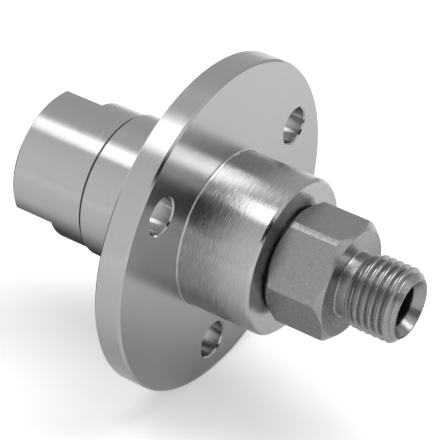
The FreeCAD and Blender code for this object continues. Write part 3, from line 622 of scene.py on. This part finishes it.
class UNION_OT_metal_finishes(bpy.types.Operator):
    """Finishes of the housing, the inlet body and the inner metal pieces"""
    bl_idname = "union.metal_finishes"
    bl_label = "Metal finishes"

    def execute(self, context):
        finishes = context.scene.union_finishes
        # Bright metal, brushed on the barrel; its freshly cut edges shine more
        turned = turned_stainless(
            "Stainless steel, turned", finishes.housing, finishes.turning, roughness=0.22, spread=0.85,
            bump=0.3, contrast=0.12, edges=0.5, calm_behind=finishes.brushed_from)
        # The same steel with finer and fainter marks, so its highlight is calm
        satin = turned_stainless(
            "Stainless steel, turned and satin", finishes.housing, finishes.satin, roughness=0.22, spread=0.7,
            bump=0.1, contrast=0.04)
        # Races and balls mirror the pieces beside them; their marks are drawn far coarser than real ones
        ground = turned_stainless(
            "Bearing steel, ground", "#C8C8CA", 0.1 * MM, roughness=0.08, spread=0.2, bump=0.05)
        # Dull sheet, with no marks in one direction
        pressed = plain_grain(
            "Sheet steel, pressed", "#8E8E90", metallic=1.0, roughness=0.35, grain=0.4 * MM, bump=0.1)
        # Dark and nearly matt, from its coating
        spring = plain_grain(
            "Spring steel, phosphated", "#4A4A4C", metallic=1.0, roughness=0.5, grain=0.2 * MM, bump=0.2)
        # Plainly grooved, because nothing runs on it
        spacer = turned_stainless("Steel, turned", "#9C9C9C", 0.15 * MM, roughness=0.3, spread=0.4, bump=0.2)
        # Dark and almost a mirror, as a seal face has to be
        lapped = plain_grain(
            "Hard ring, lapped", "#6A6A6E", metallic=1.0, roughness=0.12, grain=0.3 * MM, bump=0.03)
        dress(turned, "flanged_housing", "lip_seal_case")
        dress(satin, "threaded_inlet")
        for side in ("front", "rear"):
            dress(ground, f"{side}_bearing_outer_ring", f"{side}_bearing_inner_ring", f"{side}_bearing_balls")
            dress(pressed, f"{side}_bearing_shields")
        dress(spacer, "outer_spacer", "inner_spacer")
        dress(spring, "housing_retaining_ring", "shaft_retaining_ring", "closing_spring", "spring_washer",
              "anti_rotation_pin")
        dress(lapped, "rotating_seal_ring")
        return {"FINISHED"}


class UNION_OT_soft_finishes(bpy.types.Operator):
    """Finishes of rubber, carbon, PTFE and cage pieces"""
    bl_idname = "union.soft_finishes"
    bl_label = "Rubber, carbon and plastic finishes"

    def execute(self, context):
        # Black with a soft broad sheen
        rubber = plain_grain(
            "Nitrile rubber, moulded", "#1A1A1A", metallic=0.0, roughness=0.55, grain=0.3 * MM, bump=0.1)
        # Dark grey with a silky sheen
        carbon = plain_grain(
            "Carbon graphite, lapped", "#2E2E30", metallic=0.0, roughness=0.4, grain=0.2 * MM, bump=0.1)
        # Milky white and waxy
        ptfe = plain_grain(
            "PTFE, turned", "#E6E6E0", metallic=0.0, roughness=0.45, grain=0.4 * MM, bump=0.05)
        # Cream, with the soft sheen of a moulding
        nylon = plain_grain(
            "Nylon, moulded", "#D8D0B4", metallic=0.0, roughness=0.45, grain=0.5 * MM, bump=0.05)
        dress(rubber, "lip_seal", "rotating_ring_o_ring", "stationary_ring_o_ring", "inlet_body_o_ring")
        dress(carbon, "stationary_seal_ring")
        dress(ptfe, "stationary_ring_backup_ring")
        dress(nylon, "front_bearing_cage", "rear_bearing_cage")
        return {"FINISHED"}


class UNION_OT_studio(bpy.types.Operator):
    """Pale floor, soft light and the camera"""
    bl_idname = "union.studio"
    bl_label = "Studio"

    def execute(self, context):
        studio = context.scene.union_studio
        scene = context.scene
        scene.view_settings.view_transform = "Standard"
        turn = Matrix(CAMERA_AXES).transposed().to_4x4()

        bpy.ops.object.select_all(action="DESELECT")
        bpy.ops.mesh.primitive_plane_add(size=studio.floor_size, location=(0, 0, -FLANGE_RADIUS))
        floor = context.object
        floor.name = "floor"
        # White paint that shows the shadow; its own glow stands for light that the room would send back
        material, tree = new_material("White studio floor, matt paint")
        path = add(tree, "ShaderNodeLightPath")
        paint = add(tree, "ShaderNodeBsdfDiffuse", {"Color": srgb("#F4F4F4")})
        # Beyond the softboxes' reach the room lights the floor; the camera sees it white all over
        place = add(tree, "ShaderNodeTexCoord").outputs["Object"]
        reach = add(tree, "ShaderNodeVectorMath", {0: place}, operation="LENGTH").outputs["Value"]
        far = add(tree, "ShaderNodeMapRange", {
            "Value": reach, "From Min": 0.03, "From Max": 0.2, "To Min": 0.05, "To Max": 0.4}).outputs[0]
        wall = add(tree, "ShaderNodeMapRange", {"Value": reach, "From Min": 0.3, "From Max": 0.9,
                                                "To Max": 0.2}).outputs[0]
        level = add(tree, "ShaderNodeMath", {0: far, 1: wall}, operation="ADD").outputs[0]
        mirrored = add(tree, "ShaderNodeMath", {0: path.outputs["Is Glossy Ray"],
                                                1: path.outputs["Is Transmission Ray"]}, operation="MAXIMUM")
        seen = add(tree, "ShaderNodeMath", {0: path.outputs["Is Camera Ray"], 1: mirrored.outputs[0]},
                   operation="MAXIMUM")
        lit = add(tree, "ShaderNodeMath", {0: seen.outputs[0], 1: level}, operation="MULTIPLY")
        # Metal sees a little light under the flange, where its own shadow is deepest
        near = add(tree, "ShaderNodeMapRange", {
            "Value": reach, "From Min": 0.012, "From Max": 0.03, "To Min": 0.14, "To Max": 0.0})
        lit = add(tree, "ShaderNodeMath", {0: mirrored.outputs[0], 1: near.outputs[0], 2: lit.outputs[0]},
                  operation="MULTIPLY_ADD")
        white = add(tree, "ShaderNodeMath", {
            0: path.outputs["Is Camera Ray"], 1: CAMERA_GLOW, 2: lit.outputs[0]}, operation="MULTIPLY_ADD")
        glow = add(tree, "ShaderNodeEmission", {"Strength": white.outputs[0]})
        both = add(tree, "ShaderNodeAddShader", {0: paint.outputs[0], 1: glow.outputs[0]})
        add(tree, "ShaderNodeOutputMaterial", {"Surface": both.outputs[0]})
        floor.data.materials.append(material)

        world = bpy.data.worlds.new("Studio")
        scene.world = world
        world.use_nodes = True
        tree = world.node_tree
        tree.nodes.clear()
        path = add(tree, "ShaderNodeLightPath")
        seen = add(tree, "ShaderNodeMath", {
            0: path.outputs["Is Camera Ray"], 1: path.outputs["Is Glossy Ray"]}, operation="MAXIMUM")
        seen = add(tree, "ShaderNodeMath", {0: seen.outputs[0], 1: path.outputs["Is Transmission Ray"]},
                   operation="MAXIMUM")
        # The room is lighter on the camera's side than behind the object
        way = add(tree, "ShaderNodeTexCoord").outputs["Generated"]
        side = add(tree, "ShaderNodeVectorMath", {0: way, 1: CAMERA_SIDE}, operation="DOT_PRODUCT")
        level = add(tree, "ShaderNodeMapRange", {
            "Value": side.outputs["Value"], "From Min": -0.2, "From Max": 0.4, "To Min": studio.back_wall,
            "To Max": studio.front_wall})
        dim = add(tree, "ShaderNodeBackground", {"Color": srgb("#FFFFFF"), "Strength": studio.fill})
        room = add(tree, "ShaderNodeBackground", {"Color": srgb("#FFFFFF"), "Strength": level.outputs[0]})
        mixed = add(tree, "ShaderNodeMixShader", {0: seen.outputs[0], 1: dim.outputs[0], 2: room.outputs[0]})
        add(tree, "ShaderNodeOutputWorld", {"Surface": mixed.outputs[0]})

        # Two softboxes overhead: name, x, y, turn about Z in degrees, length, width and power
        for name, x, y, heading, length, width, power in (
                ("left_softbox", -0.15, -0.113, 15, 0.34, 0.178, studio.left_power),
                ("right_softbox", 0.15, 0.125, 36, 0.34, 0.21, studio.right_power)):
            softbox = bpy.data.lights.new(name, "AREA")
            softbox.shape = "RECTANGLE"
            softbox.size, softbox.size_y = length, width
            softbox.energy = power
            lamp = bpy.data.objects.new(name, softbox)
            lamp.location = (x, y, SOFTBOX_HEIGHT)
            lamp.rotation_euler = (0, 0, math.radians(heading))
            scene.collection.objects.link(lamp)

        # Cards that only metal sees: black behind the camera and to the right, and grey just above the floor
        # as painted shadow of the object on the floor near it
        black, tree = new_material("Black card, matt")
        finish_surface(tree, {"Base Color": srgb("#080808"), "Roughness": 0.9})
        # Painted shadow: metal mirrors this dark grey where the floor under and beside the object lies in
        # shade
        shadow_grey, tree = new_material("Grey card of painted shadow, matt, with a faded edge")
        place = add(tree, "ShaderNodeTexCoord").outputs["Object"]
        reach = add(tree, "ShaderNodeVectorMath", {0: place}, operation="LENGTH").outputs["Value"]
        fade = add(tree, "ShaderNodeMapRange", {
            "Value": reach, "From Min": 0.3, "From Max": 0.5, "To Min": 1.0, "To Max": 0.0})
        finish_surface(tree, {"Base Color": srgb("#606060"), "Roughness": 0.9, "Alpha": fade.outputs[0]})
        flat = Matrix.Identity(4)
        upright = Matrix.Rotation(math.radians(90), 4, "Y")
        for name, material, middle, pose, width, height in (
                ("camera_card", black, 0.48 * Vector((0.435, -0.617, 0.655)), turn, 0.36, 0.37),
                ("inlet_shadow_card", shadow_grey, Vector((-0.07, 0.015, SHADOW_CARD_HEIGHT)), flat, 0.19, 0.085),
                ("outlet_shadow_card", shadow_grey, Vector((0.055, 0.031, SHADOW_CARD_HEIGHT)), flat, 0.034, 0.036),
                ("side_card", black, Vector((0.5, -0.09, 0.23)), upright, 0.18, 0.22)):
            bpy.ops.object.select_all(action="DESELECT")
            bpy.ops.mesh.primitive_plane_add(size=1)
            card = context.object
            card.name = name
            card.data.materials.append(material)
            card.matrix_world = Matrix.Translation(middle) @ pose @ Matrix.Diagonal((width, height, 1, 1))
            card.visible_camera = card.visible_diffuse = card.visible_shadow = False

        lens = bpy.data.cameras.new("camera")
        lens.lens = studio.lens
        lens.clip_start = NEAREST_SEEN
        camera = bpy.data.objects.new("camera", lens)
        camera.matrix_world = Matrix.Translation(CAMERA_PLACE) @ turn
        scene.collection.objects.link(camera)
        scene.camera = camera
        return {"FINISHED"}


class UNION_PT_panel(bpy.types.Panel):
    """Lists the union's pieces and settings"""
    bl_idname = "UNION_PT_panel"
    bl_label = "Rotary union"
    bl_space_type = "VIEW_3D"
    bl_region_type = "UI"
    bl_category = "Union"

    def draw(self, context):
        for group in (getattr(context.scene, name) for name in GROUPS):
            box = self.layout.box()
            for name in group.__annotations__:
                box.prop(group, name)
        for operator in OPERATORS:
            self.layout.operator(operator.bl_idname)


OPERATORS = (UNION_OT_threaded_shaft, UNION_OT_threaded_inlet, UNION_OT_closing_spring,
             UNION_OT_metal_finishes, UNION_OT_soft_finishes, UNION_OT_studio)
GROUPS = {"union_threads": UnionThreads, "union_finishes": UnionFinishes, "union_studio": UnionStudio}


def register():
    for item in (*GROUPS.values(), *OPERATORS, UNION_PT_panel):
        bpy.utils.register_class(item)
    for name, group in GROUPS.items():
        setattr(bpy.types.Scene, name, bpy.props.PointerProperty(type=group))


def unregister():
    for name in GROUPS:
        delattr(bpy.types.Scene, name)
    for item in (UNION_PT_panel, *reversed(OPERATORS), *GROUPS.values()):
        bpy.utils.unregister_class(item)


def main():
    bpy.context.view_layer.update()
    register()
    bpy.ops.union.threaded_shaft()
    bpy.ops.union.threaded_inlet()
    bpy.ops.union.closing_spring()
    bpy.ops.union.metal_finishes()
    bpy.ops.union.soft_finishes()
    bpy.ops.union.studio()


if __name__ == "__main__":
    main()
